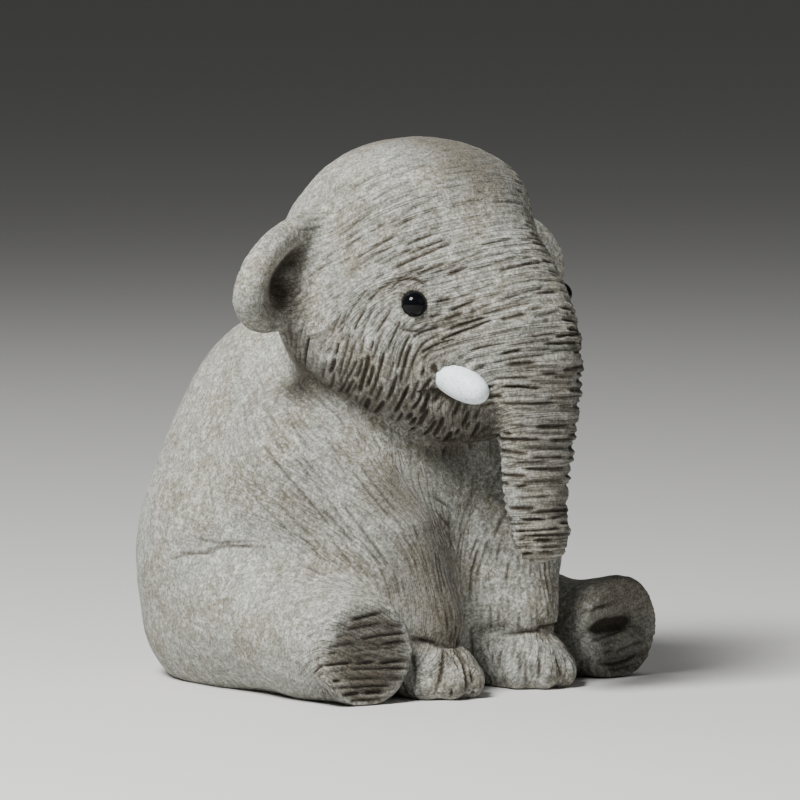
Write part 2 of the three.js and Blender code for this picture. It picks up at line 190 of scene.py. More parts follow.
def addTusk(side):
    low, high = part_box(f"{side}_tusk")
    bpy.ops.object.select_all(action="DESELECT")
    bpy.ops.mesh.primitive_uv_sphere_add(
        segments=tuskShape["segments"], ring_count=tuskShape["rings"], radius=1)
    tusk = bpy.context.object
    tusk.name = tusk.data.name = f"tusk_{side}"
    points = pointsOf(tusk.data)
    off = np.hypot(points[:, 0], points[:, 1])
    fuller = np.where(off > tiny, off ** tuskShape["bluntness"] / np.maximum(off, tiny), 0)
    wide = fuller * tuskShape["width"] / 2
    points[:, 0] *= wide
    points[:, 1] *= wide
    points[:, 2] *= tuskShape["length"] / 2
    movePoints(tusk.data, points)
    tusk.rotation_euler = way(*tuskShape["look"]).to_track_quat("Z", "Y").to_euler()
    tusk.location = (low + high) / 2
    settle(tusk)
    bpy.ops.object.shade_smooth()
    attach(tusk, "root")
    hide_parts(f"{side}_tusk")
    return tusk


tusks = [addTusk("left"), addTusk("right")]
print("eyes and tusks set")

# The clay body, first as a fine even skin

clayBody = {
    "voxel": 0.19 * mm,
    "smoothing": 30,
    "smoothFactor": 0.5,
    "combVoxel": 0.55 * mm,
    "combSmoothing": 8,
    "triangles": 194000,
    "lumpSize": 2.6 * mm,
    "lumpHeight": 0.2 * mm,
    "lumpDetail": 2,
    "drawnFrom": 1.2,       # how far off the clay is drawn in to a bead or tusk, in millimetres
    "touchesFrom": 0.45,    # how far off it is pressed on to it
    "pressedIn": 0.06,
    "pressedMore": 1.6,     # times as deep where the clay already touched
    "nearest": 0.02,        # keeps the share of a point that lies on another within bounds
}


def copyNode(nodeName, pieceName):
    piece = bpy.data.objects.new(pieceName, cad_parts[nodeName].data.copy())
    bpy.context.scene.collection.objects.link(piece)
    piece.data.materials.clear()
    choose(piece)
    bpy.ops.object.mode_set(mode="EDIT")
    bpy.ops.mesh.select_all(action="SELECT")
    bpy.ops.mesh.remove_doubles(threshold=tiny)
    bpy.ops.object.mode_set(mode="OBJECT")
    return piece


clay = copyNode("clay_body", "clay_calf")
combing = copyNode("clay_body", "combing_guide")
applyModifier(combing, "REMESH", mode="VOXEL", voxel_size=clayBody["combVoxel"])
applyModifier(combing, "SMOOTH", factor=clayBody["smoothFactor"], iterations=clayBody["combSmoothing"])
applyModifier(combing, "TRIANGULATE")
applyModifier(clay, "REMESH", mode="VOXEL", voxel_size=clayBody["voxel"])
applyModifier(clay, "SMOOTH", factor=clayBody["smoothFactor"], iterations=clayBody["smoothing"])
print("clay skin:", len(clay.data.vertices), "points, guide:", len(combing.data.vertices))

# Which way the needle was drawn. Each guide: kind, place, direction, reach, depth, width, spacing,
# length (millimetres). "round" strokes run round the direction, as rings round a trunk; "along"
# strokes run along it.

needle = {
    "seed": 11,
    "step": 0.35,
    "fitting": 500,          # steps of the fit
    "fold": (0, 20.4, 28.7),    # where head and body meet under the jaw
    "foldBow": 0.05,
    "foldSoftness": 0.6,
    "farShare": 1e-7,           # what a guide still counts beyond its reach
    "otherShare": 1e-3,         # and on the other side of the fold
    "forward": (0, 1, -0.5),
    "lowest": 0.4,              # strokes start above this height and stop just under it
    "lowestEnd": 0.3,
    "spacingRange": (0.75, 1.3),
    "lengthRange": (0.35, 1.4),
    "widthRange": (0.8, 1.25),
    "bend": 0.06,
    "heldOn": 0.5,              # how much a stroke keeps its way from step to step
    "passing": 0.55,            # how close strokes pass, as a share of their spacing
    "weakest": 0.4,
    "strongerBy": 0.95,
    "strongSeldom": 1.3,
    "taper": 2.5,               # steps
    "bothSides": [
        ("round", (0, 6, 62), (0, 0.5, -0.85), 9, 0.03, 0.15, 1.6, 3),
        ("round", (9, 9, 58), (0, 0.62, -0.78), 7, 0.09, 0.15, 1.0, 3.5),
        ("round", (13, 16, 54), (0, 0.65, -0.76), 6, 0.19, 0.17, 0.8, 4.5),
        ("round", (10, 23, 55), (0, 0.6, -0.8), 6, 0.22, 0.18, 0.8, 5),
        ("round", (3, 26, 58), (0, 0.5, -0.87), 6, 0.10, 0.16, 1.0, 4),
        ("round", (9, 28.5, 50), (0, 0.5, -0.87), 5, 0.32, 0.19, 0.75, 7),
        ("round", (3, 33, 49), (0, 0.5, -0.87), 5, 0.24, 0.19, 0.8, 6),
        ("round", (6, 33.5, 43), (0, 0.35, -0.94), 5, 0.30, 0.19, 0.75, 7),
        ("round", (3, 38, 36), (0, 0, -1), 5, 0.36, 0.20, 0.8, 6),
        ("round", (3, 38, 28), (0, 0, -1), 5, 0.38, 0.20, 0.8, 6),
        ("round", (2, 38, 20), (0, 0.1, -1), 5, 0.32, 0.20, 0.8, 5),
        ("round", (13.5, 22, 43), (0, 0.92, -0.38), 4.5, 0.28, 0.19, 0.75, 6),
        ("round", (16, 13, 43), (0, 0.88, -0.47), 5, 0.22, 0.18, 0.8, 4),
        ("along", (12, 16, 36.5), (0.42, 0.78, 0.53), 5.5, 0.48, 0.21, 0.75, 6.5),
        ("along", (6, 25, 33), (0.47, 0.8, 0.36), 5, 0.42, 0.20, 0.75, 5),
        ("round", (21, 14, 50), (0, 0.3, -1), 5, 0.04, 0.16, 1.3, 3),
        ("along", (12, 16.5, 31), (-0.25, 0.68, -0.68), 4.5, 0.05, 0.16, 1.2, 5),
        ("along", (3, 20, 26.5), (0.1, 0.2, -1), 4, 0.05, 0.16, 1.2, 4),
        ("along", (22, -8, 25), (0, 0.3, -0.95), 11, 0.04, 0.16, 1.7, 8),
        ("along", (0, -20, 30), (0, 0, -1), 12, 0.03, 0.16, 1.9, 8),
        ("along", (22, 8, 10), (0, 0.8, 0.45), 8, 0.05, 0.16, 1.4, 4),
        ("along", (20, 23, 9), (0, 0.75, 0.6), 5, 0.08, 0.16, 1.1, 3),
    ],
    "rightSide": [
        ("along", (-19, 6, 31), (0, 0.72, -0.68), 8, 0.11, 0.18, 0.95, 8),
        ("along", (-16, 13, 25), (0.1, 0.75, -0.65), 7, 0.18, 0.18, 0.8, 10),
        ("along", (-14, 19, 17), (0.2, 0.62, -0.75), 6, 0.18, 0.18, 0.8, 8),
        ("along", (-10, 25, 10), (0.1, 0.25, -0.95), 5, 0.12, 0.17, 0.8, 4),
        ("along", (-8, 29, 4), (0, 0, -1), 3.5, 0.26, 0.19, 0.7, 3),
        ("along", (-3, 16, 28), (0.75, 0.1, 0.62), 6, 0.14, 0.18, 0.9, 6),
        ("along", (-20.3, 28, 6), (1, 0.2, 0), 4.5, 0.38, 0.20, 0.75, 7),
    ],
    "leftSide": [
        ("along", (19, 6, 31), (0, 0.72, -0.68), 8, 0.10, 0.18, 0.95, 8),
        ("along", (17, 13, 24), (-0.1, 0.7, -0.7), 6, 0.14, 0.18, 0.9, 8),
        ("along", (5, 20, 24), (0.62, 0.36, 0.7), 5, 0.16, 0.18, 0.8, 7),
        ("along", (9, 24, 17), (0.2, 0.2, 0.95), 4.5, 0.18, 0.18, 0.75, 7),
        ("along", (8, 28, 10), (0, 0, -1), 4, 0.18, 0.18, 0.75, 5),
        ("along", (8, 30, 4), (0, 0, -1), 3.5, 0.18, 0.18, 0.8, 3),
        ("along", (21.4, 29, 2), (1, 0, 0.15), 3.5, 0.24, 0.20, 0.8, 6),
        ("along", (21.4, 29, 9), (1, 0, 0.25), 3.5, 0.14, 0.20, 1.0, 5),
    ],
}


def mirrored(guide):
    kind, (side, ahead, up), (x, y, z), *rest = guide
    return (kind, (-side, ahead, up), (-x, y, z), *rest)


guides = needle["bothSides"] + [mirrored(g) for g in needle["bothSides"]]
guides += needle["rightSide"] + needle["leftSide"]

tree = BVHTree.FromObject(combing, bpy.context.evaluated_depsgraph_get())
forward = np.array(way(*needle["forward"]))


def turnOf(place, direction):
    # Guides drawn along the skin are counted across it on the side that leads forward
    normal = np.array(tree.find_nearest(spot(*place))[1])
    return 1 if np.cross(normal, np.array(way(*direction))) @ forward > 0 else -1


def headShare(places):
    # 1 on the head and trunk and 0 on the body, with the change at the fold under the jaw
    middle = np.array(spot(*needle["fold"])) / mm
    bow = needle["foldBow"] * np.abs(places[:, 0] - middle[0])
    over = middle[1] - places[:, 1] + places[:, 2] - middle[2] - bow
    return 1 / (1 + np.exp(-np.clip(over / needle["foldSoftness"], -30, 30)))


def combDirections(places, normals):
    # Blends the guides at each place: the way of the strokes, the way across them, and their values
    blend = np.zeros((len(places), 3, 3))
    side = np.zeros((len(places), 3))
    values = np.zeros((len(places), 4))
    total = np.full((len(places), 1), 1e-9)
    onHead = headShare(places)
    for kind, place, direction, reach, *stroke in guides:
        centre = np.array(spot(*place)) / mm
        away = np.linalg.norm(places - centre, axis=1)
        sameSide = onHead if headShare(centre[None])[0] > 0.5 else 1 - onHead
        close = np.exp(-((away / reach) ** 2)) + needle["farShare"] / (1 + away)
        weight = (close * (sameSide + needle["otherShare"]))[:, None]
        lead = np.broadcast_to(np.array(way(*direction)), normals.shape)
        flat = lead - normals * np.sum(lead * normals, axis=1)[:, None]
        if kind == "round":
            run, over = np.cross(lead, normals), flat
        else:
            run, over = flat, np.cross(normals, lead) * turnOf(place, direction)
        blend += weight[:, :, None] * run[:, :, None] * run[:, None, :]
        side += weight * over
        values += weight * np.array(stroke)
        total += weight
    run = np.linalg.eigh(blend)[1][:, :, 2]
    run -= normals * np.sum(run * normals, axis=1)[:, None]
    run /= np.maximum(np.linalg.norm(run, axis=1), tiny)[:, None]
    across = np.cross(normals, run)
    sign = np.where(np.sum(across * side, axis=1) < 0, -1, 1)[:, None]
    return run * sign, across * sign, values / total


faceCentres = rowsOf(p.center for p in combing.data.polygons) / mm
faceNormals = rowsOf(p.normal for p in combing.data.polygons)
faceRuns, _, faceValues = combDirections(faceCentres, faceNormals)
print("needle directions set on", len(faceCentres), "faces")


def lengthOver(pairs, points, ways):
    # The length all over the skin whose steps along its edges come nearest to those of the ways
    first, second = pairs.T
    step = np.sum((points[second] - points[first]) * (ways[first] + ways[second]), axis=1) / 2
    count = len(points)

    def gathered(steps):
        return np.bincount(second, steps, count) - np.bincount(first, steps, count)

    length = np.zeros(count)
    left = gathered(step)
    search = left.copy()
    error = left @ left
    for _ in range(needle["fitting"]):
        change = gathered(search[second] - search[first])
        move = error / (search @ change)
        length += move * search
        left -= move * change
        search = left + search * (left @ left) / error
        error = left @ left
    return length


def combLengths():
    # How far each point of the guide skin lies across and along the strokes, and how strong they are
    points, normals = pointsOf(combing.data) / mm, normalsOf(combing.data)
    runs, across, values = combDirections(points, normals)
    pairs = np.empty(len(combing.data.edges) * 2, np.int32)
    combing.data.edges.foreach_get("vertices", pairs)
    pairs = pairs.reshape(-1, 2)
    lengths = [lengthOver(pairs, points, across), lengthOver(pairs, points, runs)]
    return np.column_stack([*lengths, values[:, 0]])


def carriedOver(places, values):
    # Values of the guide skin's points at other places, from the nearest spot of its triangles
    corners = np.empty(len(combing.data.polygons) * 3, np.int32)
    combing.data.polygons.foreach_get("vertices", corners)
    corners = corners.reshape(-1, 3)
    hits = [tree.find_nearest(Vector(p) * mm) for p in places]
    found = corners[[hit[2] for hit in hits]]
    spots = rowsOf(hit[0] for hit in hits) / mm
    a, b, c = (pointsOf(combing.data)[found[:, i]] / mm for i in range(3))
    normal = np.cross(b - a, c - a)
    area = np.maximum(np.sum(normal * normal, axis=1), 1e-12)
    shareA = np.sum(np.cross(b - spots, c - spots) * normal, axis=1) / area
    shareB = np.sum(np.cross(c - spots, a - spots) * normal, axis=1) / area
    shares = np.column_stack([shareA, shareB, 1 - shareA - shareB])
    return np.einsum("ij,ijk->ik", shares, values[found])


combed = combLengths()
print("comb lengths fitted on", len(combed), "points")


def taperAt(n, count, over):
    # 1 along a line's middle, falling to its first and last samples
    return min(1, (n + 0.6) / over, (count - n - 0.4) / over)


def thinned(width, taper):
    return width * (0.6 + 0.4 * taper)


def traceStrokes():
    # Draws strokes over the skin, each kept clear of those drawn before it
    dice = np.random.default_rng(needle["seed"])
    near = {}
    samples = []
    step = needle["step"]

    def cellOf(p):
        return int(p[0] // 1), int(p[1] // 1), int(p[2] // 1)

    def crowded(p, clearance, own):
        cell = cellOf(p)
        reach = 1 if clearance <= 1 else 2
        for i in range(cell[0] - reach, cell[0] + reach + 1):
            for j in range(cell[1] - reach, cell[1] + reach + 1):
                for k in range(cell[2] - reach, cell[2] + reach + 1):
                    for x, y, z, stroke in near.get((i, j, k), ()):
                        if stroke != own:
                            if (x - p[0]) ** 2 + (y - p[1]) ** 2 + (z - p[2]) ** 2 < clearance ** 2:
                                return True
        return False

    count = 0
    for face in dice.permutation(len(faceCentres)):
        depth, width, spacing, length = faceValues[face]
        spacing *= dice.uniform(*needle["spacingRange"])
        start = faceCentres[face]
        if start[2] < needle["lowest"] or crowded(start, spacing, -1):
            continue
        count += 1
        reach = length * dice.uniform(*needle["lengthRange"])
        wander = dice.normal(0, needle["bend"])
        path = [(start, faceRuns[face])]
        for sign in (1, -1):
            here, run = Vector(start), Vector(faceRuns[face]) * sign
            drawn = 0
            line = []
            while drawn < reach / 2:
                here = here + run * step
                hit, normal, index, _ = tree.find_nearest(here * mm)
                here = hit / mm
                ahead = Vector(faceRuns[index])
                if ahead.dot(run) < 0:
                    ahead = -ahead
                run = (run * needle["heldOn"] + ahead + normal.cross(ahead) * wander).normalized()
                if here.z < needle["lowestEnd"] or crowded(here, spacing * needle["passing"], count):
                    break
                drawn += step
                line.append((np.array(here), np.array(run)))
            path = path + line if sign > 0 else line[::-1] + path
        strength = needle["weakest"] + needle["strongerBy"] * dice.uniform() ** needle["strongSeldom"]
        thick = width * dice.uniform(*needle["widthRange"])
        for n, (p, run) in enumerate(path):
            near.setdefault(cellOf(p), []).append((*p, count))
            taper = taperAt(n, len(path), needle["taper"])
            if len(path) > 2:
                samples.append((*p, *run, depth * strength * taper, thinned(thick, taper)))
    return np.array(samples), count


strokes, strokeCount = traceStrokes()
print("needle strokes:", strokeCount, "with", len(strokes), "samples")

# Creases and folds laid in one at a time: points on the skin, depth, width (millimetres)
creases = {
    "seed": 5,
    "step": 0.35,
    "wander": 0.1,
    "smoothing": 6,
    "taper": 6,     # steps
    "lines": [
        ([(-22.6, -3, 15.9), (-22.5, 1, 16.2), (-22, 6, 16.9), (-21, 11, 17.3)], 0.24, 0.2),
        ([(-22.6, -4.5, 14.9), (-22.6, -1, 15.5), (-22.4, 3, 16.5), (-21.9, 7, 17.4)], 0.22, 0.2),
        ([(-22.4, 0, 17.9), (-22, 5, 17.5), (-21.2, 10, 17.9)], 0.18, 0.18),
        ([(-22.4, -1.5, 20.2), (-22, 1.5, 18.8), (-21.8, 5, 17.6)], 0.12, 0.2),
        ([(-22.3, 1, 21), (-21.9, 3.5, 19.4), (-21.6, 6.5, 18)], 0.10, 0.2),
        ([(22.6, -3, 15.9), (22.5, 1, 16.2), (22, 6, 16.9), (21, 11, 17.3)], 0.26, 0.24),
        ([(22.6, -4.5, 14.9), (22.6, -1, 15.5), (22.4, 3, 16.5)], 0.2, 0.22),
        ([(3.2, 24.4, 6.2), (6, 29.5, 6.3), (10, 29, 6.9), (12.6, 25.5, 7.2)], 0.34, 0.24),
        ([(-12.6, 25.5, 7), (-10, 28.6, 6.8), (-6, 28.8, 6.8), (-3.4, 25, 7)], 0.34, 0.24),
        ([(-9.6, 23.4, 36.8), (-8.6, 26.4, 35.3), (-6.4, 29, 34)], 0.45, 0.26),
        ([(9.6, 23.4, 36.8), (8.6, 26.4, 35.3), (6.4, 29, 34)], 0.45, 0.26),
        ([(-8.9, 28.2, 6.1), (-10.4, 29.4, 4.4), (-11.4, 29.7, 0.6)], 0.42, 0.22),
        ([(-7.3, 29.3, 5.5), (-7.9, 30.5, 3.6), (-8.4, 31.7, 0.6)], 0.42, 0.22),
        ([(-4.8, 29, 4.9), (-4.3, 30, 2.6), (-4.3, 30, 0.6)], 0.42, 0.22),
        ([(3.8, 28.2, 4.8), (3.2, 28.8, 2.8), (3, 28.8, 0.6)], 0.3, 0.2),
        ([(5.6, 29.7, 4.6), (5, 30.4, 2.4), (5, 30.4, 0.6)], 0.4, 0.22),
        ([(7.6, 30.2, 4.4), (7.4, 31.4, 2.4), (7.6, 31.4, 0.6)], 0.4, 0.22),
        ([(10.4, 29.4, 4.6), (11.2, 30.2, 2.4), (11.2, 30.2, 0.6)], 0.4, 0.22),
        ([(15.8, 27.6, 6.1), (18, 27.7, 6.3), (21, 27.2, 6.5), (24, 27.2, 6.8)], 0.95, 0.55),
        ([(15.4, 26.6, 7.5), (17.2, 28, 8.5), (20.4, 28.1, 9)], 0.34, 0.24),
        ([(17.4, 27, 2), (19.4, 27.8, 1.9), (25, 28.1, 2.8)], 0.34, 0.22),
        ([(17.8, 26.6, 1.2), (20, 28, 1.1), (24.4, 28.1, 1.6)], 0.3, 0.2),
        ([(-4.6, 24, 19.6), (-3.2, 24, 18.6), (-2.2, 23.6, 17.2), (-1.8, 23, 15.6)], 0.42, 0.26),
        ([(-5, 23.8, 21.4), (-3, 23.8, 20.4), (-1.4, 23.2, 18.6)], 0.36, 0.26),
        ([(-4.4, 24, 17.4), (-3.2, 24, 16.4), (-2.6, 23.6, 14.8)], 0.36, 0.26),
        ([(-4.6, 23, 23.4), (-2.4, 23, 22.2), (-0.6, 22.4, 20.4)], 0.24, 0.24),
    ],
}

# Each lid: from and to, as turns round the eye from ahead over the top, radius, depth, width
lids = {
    "eye": (11.9, 26.4, 45.8),
    "ahead": (-0.5, 0.86),
    "places": 9,
    "arcs": [
        (40, 170, 3.1, 0.55, 0.2),
        (60, 130, 4.1, 0.16, 0.18),
        (205, 330, 2.9, 0.24, 0.18),
        (155, 215, 3.8, 0.2, 0.18),
    ],
}


def lidLines():
    lines = []
    for turned in (1, -1):
        side, ahead, up = lids["eye"]
        for start, stop, radius, depth, width in lids["arcs"]:
            arc = []
            for angle in np.radians(np.linspace(start, stop, lids["places"])):
                run = radius * math.cos(angle)
                out = side + lids["ahead"][0] * run
                arc.append((out * turned, ahead + lids["ahead"][1] * run, up + radius * math.sin(angle)))
            lines.append((arc, depth, width))
    return lines


def creaseSamples():
    dice = np.random.default_rng(creases["seed"])
    samples = []
    for points, depth, width in creases["lines"] + lidLines():
        corners = [np.array(spot(*p)) / mm for p in points]
        path = []
        for a, b in zip(corners, corners[1:]):
            pieces = max(2, int(np.linalg.norm(b - a) / creases["step"]))
            path += [a + (b - a) * t / pieces for t in range(pieces)]
        path = np.array(path + [corners[-1]])
        drift = np.cumsum(dice.normal(0, creases["wander"], path.shape), axis=0)
        ease = np.linspace(0, 1, len(path))[:, None]
        path += drift - drift[-1] * ease
        for _ in range(creases["smoothing"]):
            path[1:-1] = (path[:-2] + path[2:]) / 2
        laid = [np.array(tree.find_nearest(Vector(p) * mm)[0]) / mm for p in path]
        for n, p in enumerate(laid):
            run = laid[min(n + 1, len(laid) - 1)] - laid[max(n - 1, 0)]
            taper = taperAt(n, len(laid), creases["taper"])
            size = max(np.linalg.norm(run), tiny)
            samples.append((*p, *(run / size), depth * taper, thinned(width, taper)))
    return np.array(samples)


marks = np.vstack([strokes, creaseSamples()])

# How a mark presses the clay, in millimetres unless said otherwise
pressing = {
    "cell": 0.8,
    "margin": 3,
    "reachAlong": 0.34,
    "endPower": 4,
    "sidePower": 1.6,
    "lipShare": 0.3,        # of the depth
    "lipAway": 1.9,         # of the width
    "lipWidth": 0.7,        # of the width
    "lipUnder": 0.12,       # no lip where a groove is deeper
    "groundFade": 0.8,
    "beadClear": 1.7,
    "beadFade": 1.0,
}


def pressMarks(places):
    # How deep the needle went at each place, and how far clay was pushed up beside it
    low = places.min(axis=0) - pressing["margin"]
    high = places.max(axis=0) + pressing["margin"]
    counts = ((high - low) / pressing["cell"]).astype(int) + 3

    def cellOf(p):
        c = ((p - low) / pressing["cell"]).astype(int)
        return (c[:, 0] * counts[1] + c[:, 1]) * counts[2] + c[:, 2]

    markCells = cellOf(marks[:, :3])
    order = np.argsort(markCells, kind="stable")
    sortedMarks, sortedCells = marks[order], markCells[order]
    home = cellOf(places)
    groove = np.zeros(len(places))
    lip = np.zeros(len(places))
    for i in (-1, 0, 1):
        for j in (-1, 0, 1):
            for k in (-1, 0, 1):
                cell = home + (i * counts[1] + j) * counts[2] + k
                first = np.searchsorted(sortedCells, cell, "left")
                last = np.searchsorted(sortedCells, cell, "right")
                for n in range(int((last - first).max(initial=0))):
                    at = np.nonzero(first + n < last)[0]
                    mark = sortedMarks[first[at] + n]
                    run, depth, width = mark[:, 3:6], mark[:, 6], mark[:, 7]
                    gap = places[at] - mark[:, :3]
                    along = np.sum(gap * run, axis=1)
                    across = np.sqrt(np.maximum(np.sum(gap * gap, axis=1) - along * along, 0))
                    fade = np.exp(-((along / pressing["reachAlong"]) ** pressing["endPower"]))
                    deep = depth * fade * np.exp(-((across / width) ** pressing["sidePower"]))
                    beside = (across - pressing["lipAway"] * width) / (pressing["lipWidth"] * width)
                    pushed = pressing["lipShare"] * depth * fade * np.exp(-(beside ** 2))
                    np.maximum.at(groove, at, deep)
                    np.maximum.at(lip, at, pushed)
    return groove, lip


def drawnIn(places):
    # Closes the clay round the beads and tusks: what lies near one is drawn on to its surface
    farthest, deep = clayBody["drawnFrom"], clayBody["pressedIn"]
    offs = [0, clayBody["touchesFrom"], farthest]
    drawn = [-clayBody["pressedMore"] * deep, -deep, farthest]
    for piece in beads + tusks:
        around = BVHTree.FromObject(piece, bpy.context.evaluated_depsgraph_get())
        middle = pointsOf(piece.data).mean(axis=0) / mm
        reach = np.linalg.norm(pointsOf(piece.data) / mm - middle, axis=1).max() + farthest
        for n in np.nonzero(np.linalg.norm(places - middle, axis=1) < reach)[0]:
            hit, normal, _, _ = around.find_nearest(Vector(places[n]) * mm)
            hit = np.array(hit) / mm
            off = (places[n] - hit) @ np.array(normal)
            if off < farthest:
                places[n] = hit + np.array(normal) * np.interp(off, offs, drawn)
    return places


skin = pointsOf(clay.data) / mm
skinNormals = normalsOf(clay.data)
groove, lip = pressMarks(skin)
# The marks fade out towards the ground and round the beads
shown = np.clip(skin[:, 2] / pressing["groundFade"], 0, 1)
for bead in beads:
    away = np.linalg.norm(skin - pointsOf(bead.data).mean(axis=0) / mm, axis=1)
    shown *= np.clip((away - pressing["beadClear"]) / pressing["beadFade"], 0, 1)
rise = (lip * np.clip(1 - groove / pressing["lipUnder"], 0, 1) - groove) * shown
movePoints(clay.data, drawnIn(skin + skinNormals * rise[:, None]) * mm)
print("marks pressed into the clay, deepest", round(float(groove.max()), 2), "mm")

lumps = bpy.data.textures.new("handLumps", "CLOUDS")
lumps.noise_scale = clayBody["lumpSize"]
lumps.noise_depth = clayBody["lumpDetail"]
applyModifier(clay, "DISPLACE", texture=lumps, strength=clayBody["lumpHeight"], mid_level=0.5)

fullSkin = pointsOf(clay.data) / mm
faces = sum(len(p.vertices) - 2 for p in clay.data.polygons)
applyModifier(clay, "DECIMATE", ratio=clayBody["triangles"] / faces)
skin = pointsOf(clay.data) / mm


def fromFullSkin(places, values):
    # Values of the full skin's points at the thinned skin's, from the three nearest
    finder = KDTree(len(fullSkin))
    for n, p in enumerate(fullSkin):
        finder.insert(p, n)
    finder.balance()
    taken = np.zeros(len(places))
    for n, p in enumerate(places):
        near = finder.find_n(p, 3)
        shares = [1 / (off + clayBody["nearest"]) for _, _, off in near]
        taken[n] = sum(share * values[found[1]] for share, found in zip(shares, near)) / sum(shares)
    return taken


groove = fromFullSkin(skin, groove)
skin[:, 2] = np.maximum(skin[:, 2], 0)
movePoints(clay.data, skin * mm)
comb = carriedOver(skin, combed)


def keep(name, values):
    # Values kept on the clay's points for its finish to read
    kind, field = ("FLOAT_VECTOR", "vector") if values.ndim == 2 else ("FLOAT", "value")
    attribute = clay.data.attributes.new(name, kind, "POINT")
    attribute.data.foreach_set(field, values.astype(np.float32).ravel())


# Where the clay is darkened brown: painted shade under the cheeks, the chin and the ears, in the ears'
# cups and the armpits, in the far sole's slit and over the far hind foot; a brown stain on the near
# sole; and darkening over the ears, the trunk's front, the crown and the near foreleg's front. Two ends,
# reach, softness (millimetres), amount
stainAndShadeAreas = {
    "bothSides": [
        ((14, 11, 38.5), (5, 27, 33.5), 5.0, 4.0, 0.85),
        ((15, 11.5, 52.4), (20, 11.5, 49.8), 2.4, 1.2, 1),
        ((20, 11.5, 49.8), (19.4, 11, 46), 2.4, 1.2, 1),
        ((3, 37, 40), (0, 38, 20), 5.0, 4.0, 0.55),
        ((21, 9, 53), (21, 9, 46), 6.0, 4.0, 0.4),
        ((16, 10, 17.5), (17, 18, 13), 2.5, 2.0, 0.35),
        ((16.5, 11, 43), (13, 13, 37.5), 3.0, 2.0, 0.7),
    ],
    "single": [
        ((0, 24, 30), (0, 28, 33), 6.5, 3.0, 0.9),
        ((-20.6, 31, 6.2), (-20.6, 31.2, 5.6), 6.6, 1.2, 0.85),
        ((17, 27.7, 6.2), (23.4, 27.3, 6.8), 1.9, 1.5, 0.8),
        ((-10.5, 21, 22), (-8, 26, 9), 6.0, 4.0, 0.85),
        ((0, 12, 63), (0, 24, 61), 8.5, 6.0, 0.75),
        ((22, 29, 2), (23, 29, 10), 7.0, 4.0, 0.6),
    ],
}

# Painted shade in the ears' hollows, dark throughout, given in the same way
earHollowShade = {
    "bothSides": [
        ((15.5, 11, 52.2), (19.6, 11, 49.8), 2.2, 1.0, 0.2),
        ((19.6, 11, 49.8), (18.6, 10.6, 46.4), 2.2, 1.0, 0.2),
    ],
    "single": [],
}


def mirroredArea(area):
    (side, *first), (otherSide, *second), *rest = area
    return ((-side, *first), (-otherSide, *second), *rest)


def shadeAt(places, marked):
    amount = np.zeros(len(places))
    areas = marked["single"] + marked["bothSides"] + [mirroredArea(a) for a in marked["bothSides"]]
    for first, second, reach, softness, most in areas:
        a, b = (np.array(spot(*p)) / mm for p in (first, second))
        share = np.clip((places - a) @ (b - a) / ((b - a) @ (b - a)), 0, 1)
        off = np.linalg.norm(places - a - share[:, None] * (b - a), axis=1)
        amount = np.maximum(amount, most * np.clip((reach - off) / softness, 0, 1))
    return amount


# The needle grooves' depth, with painted shade laid into the ears' hollows as if they were deep
keep("groove", np.maximum(groove, shadeAt(skin, earHollowShade)))
keep("comb", np.column_stack([comb[:, :2], np.zeros(len(comb))]))
keep("combing", comb[:, 2])
# Painted shade under the cheeks, chin and ears, in the ears, armpits and far sole's slit and over the
# far hind foot, with a brown stain on the near sole
keep("stainAndShade", shadeAt(skin, stainAndShadeAreas))
choose(clay)
bpy.ops.object.shade_smooth()
bpy.data.objects.remove(combing)
print("clay calf:", len(clay.data.polygons), "triangles")
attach(clay, "root")
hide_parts("clay_body")

# The finishes


class Wire:
    # A shader socket that can be used in sums: 1 - wire, wire * 2 and so on add Math nodes.
    def __init__(self, tree, socket):
        self.tree, self.socket = tree, socket

    def math(self, operation, *others, clamp=False):
        node = self.tree.nodes.new("ShaderNodeMath")
        node.operation, node.use_clamp = operation, clamp
        for place, value in zip(node.inputs, others):
            plug(self.tree, place, value)
        return Wire(self.tree, node.outputs[0])

    def __add__(self, other):
        return self.math("ADD", self, other)

    def __radd__(self, other):
        return self.math("ADD", other, self)

    def __sub__(self, other):
        return self.math("SUBTRACT", self, other)

    def __rsub__(self, other):
        return self.math("SUBTRACT", other, self)

    def __mul__(self, other):
        return self.math("MULTIPLY", self, other)

    def clamped(self):
        return self.math("ADD", self, 0, clamp=True)

    def absolute(self):
        return self.math("ABSOLUTE", self)

    def past(self, level, steepness, most):
        # How far the value is past a level, from 0 to the most
        return ((self - level) * steepness).clamped() * most


def plug(tree, socket, value):
    if isinstance(value, Wire):
        tree.links.new(value.socket, socket)
    else:
        socket.default_value = value


class Finish:
    # A material with one shader, whose nodes are added by type
    def __init__(self, name, **settings):
        self.material = bpy.data.materials.new(name)
        self.material.use_nodes = True
        self.tree = self.material.node_tree
        self.shader = self.tree.nodes["Principled BSDF"]
        for socket, value in settings.items():
            self.shader.inputs[socket.replace("_", " ")].default_value = value

    def node(self, kind, settings=None, sockets=None, output=0):
        made = self.tree.nodes.new("ShaderNode" + kind)
        for name, value in (settings or {}).items():
            setattr(made, name, value)
        for name, value in (sockets or {}).items():
            plug(self.tree, made.inputs[name], value)
        return Wire(self.tree, made.outputs[output])

    def feed(self, **sockets):
        for name, value in sockets.items():
            plug(self.tree, self.shader.inputs[name.replace("_", " ")], value)

    def place(self):
        return self.node("TexCoord", output=3)

    def noise(self, size, detail, roughness=0.55):
        sockets = {"Vector": self.place(), "Scale": 1 / size, "Detail": detail, "Roughness": roughness}
        return self.node("TexNoise", None, sockets)

    def blend(self, factor, first, second, how="MIX"):
        settings = {"data_type": "RGBA", "blend_type": how}
        return self.node("Mix", settings, {0: factor, 6: first, 7: second}, output=2)

    def multiplied(self, factor, first, second):
        return self.blend(factor, first, second, "MULTIPLY")


